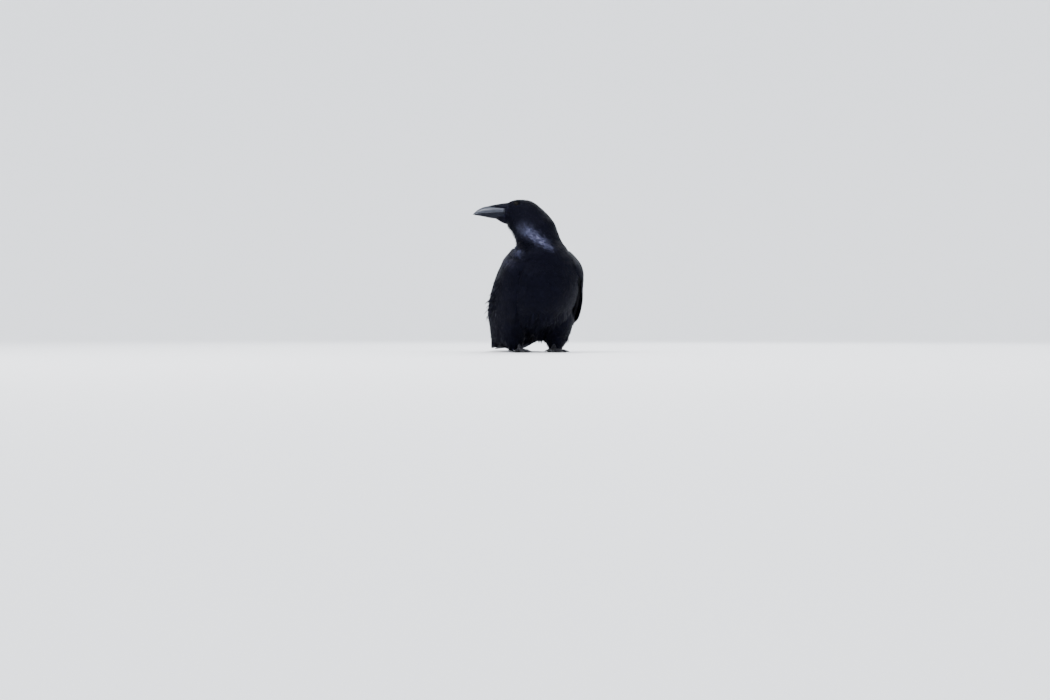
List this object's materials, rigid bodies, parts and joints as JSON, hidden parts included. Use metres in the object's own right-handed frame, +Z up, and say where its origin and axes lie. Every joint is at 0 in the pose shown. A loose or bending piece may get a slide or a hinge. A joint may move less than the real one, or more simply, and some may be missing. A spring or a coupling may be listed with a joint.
{
  "type": "raven",
  "caption": "Life-size raven in loose black plumage, standing upright and looking over its right shoulder; a still display model.",
  "frame": {"origin": "centre of the bounding box, at floor level", "axes": "+Z up, the chest faces -Y, the left wing is on the +X side"},
  "size_m": [0.2368, 0.4182, 0.3114],
  "materials": {
    "plumage": "glossy blue-black feathers",
    "horn": "satin grey-black horn",
    "bristle": "stiff black bristles",
    "eye": "wet dark brown eye",
    "scale": "scaled blue-black skin",
    "claw": "polished black horn"
  },
  "bodies": {
    "root": {"head": "plumage", "neck": "plumage", "trunk": "plumage", "chin": "plumage", "wing_left": "plumage", "wing_right": "plumage", "primaries_left": "plumage", "primaries_right": "plumage", "tail": "plumage", "thigh_left": "plumage", "thigh_right": "plumage", "bill_upper": "horn", "bill_lower": "horn", "nasal_bristles": "bristle", "eye_left": "eye", "eye_right": "eye", "foot_left": "scale", "foot_right": "scale", "claw_inner_left": "claw", "claw_middle_left": "claw", "claw_outer_left": "claw", "claw_hind_left": "claw", "claw_inner_right": "claw", "claw_middle_right": "claw", "claw_outer_right": "claw", "claw_hind_right": "claw"}
  },
  "joints": []
}
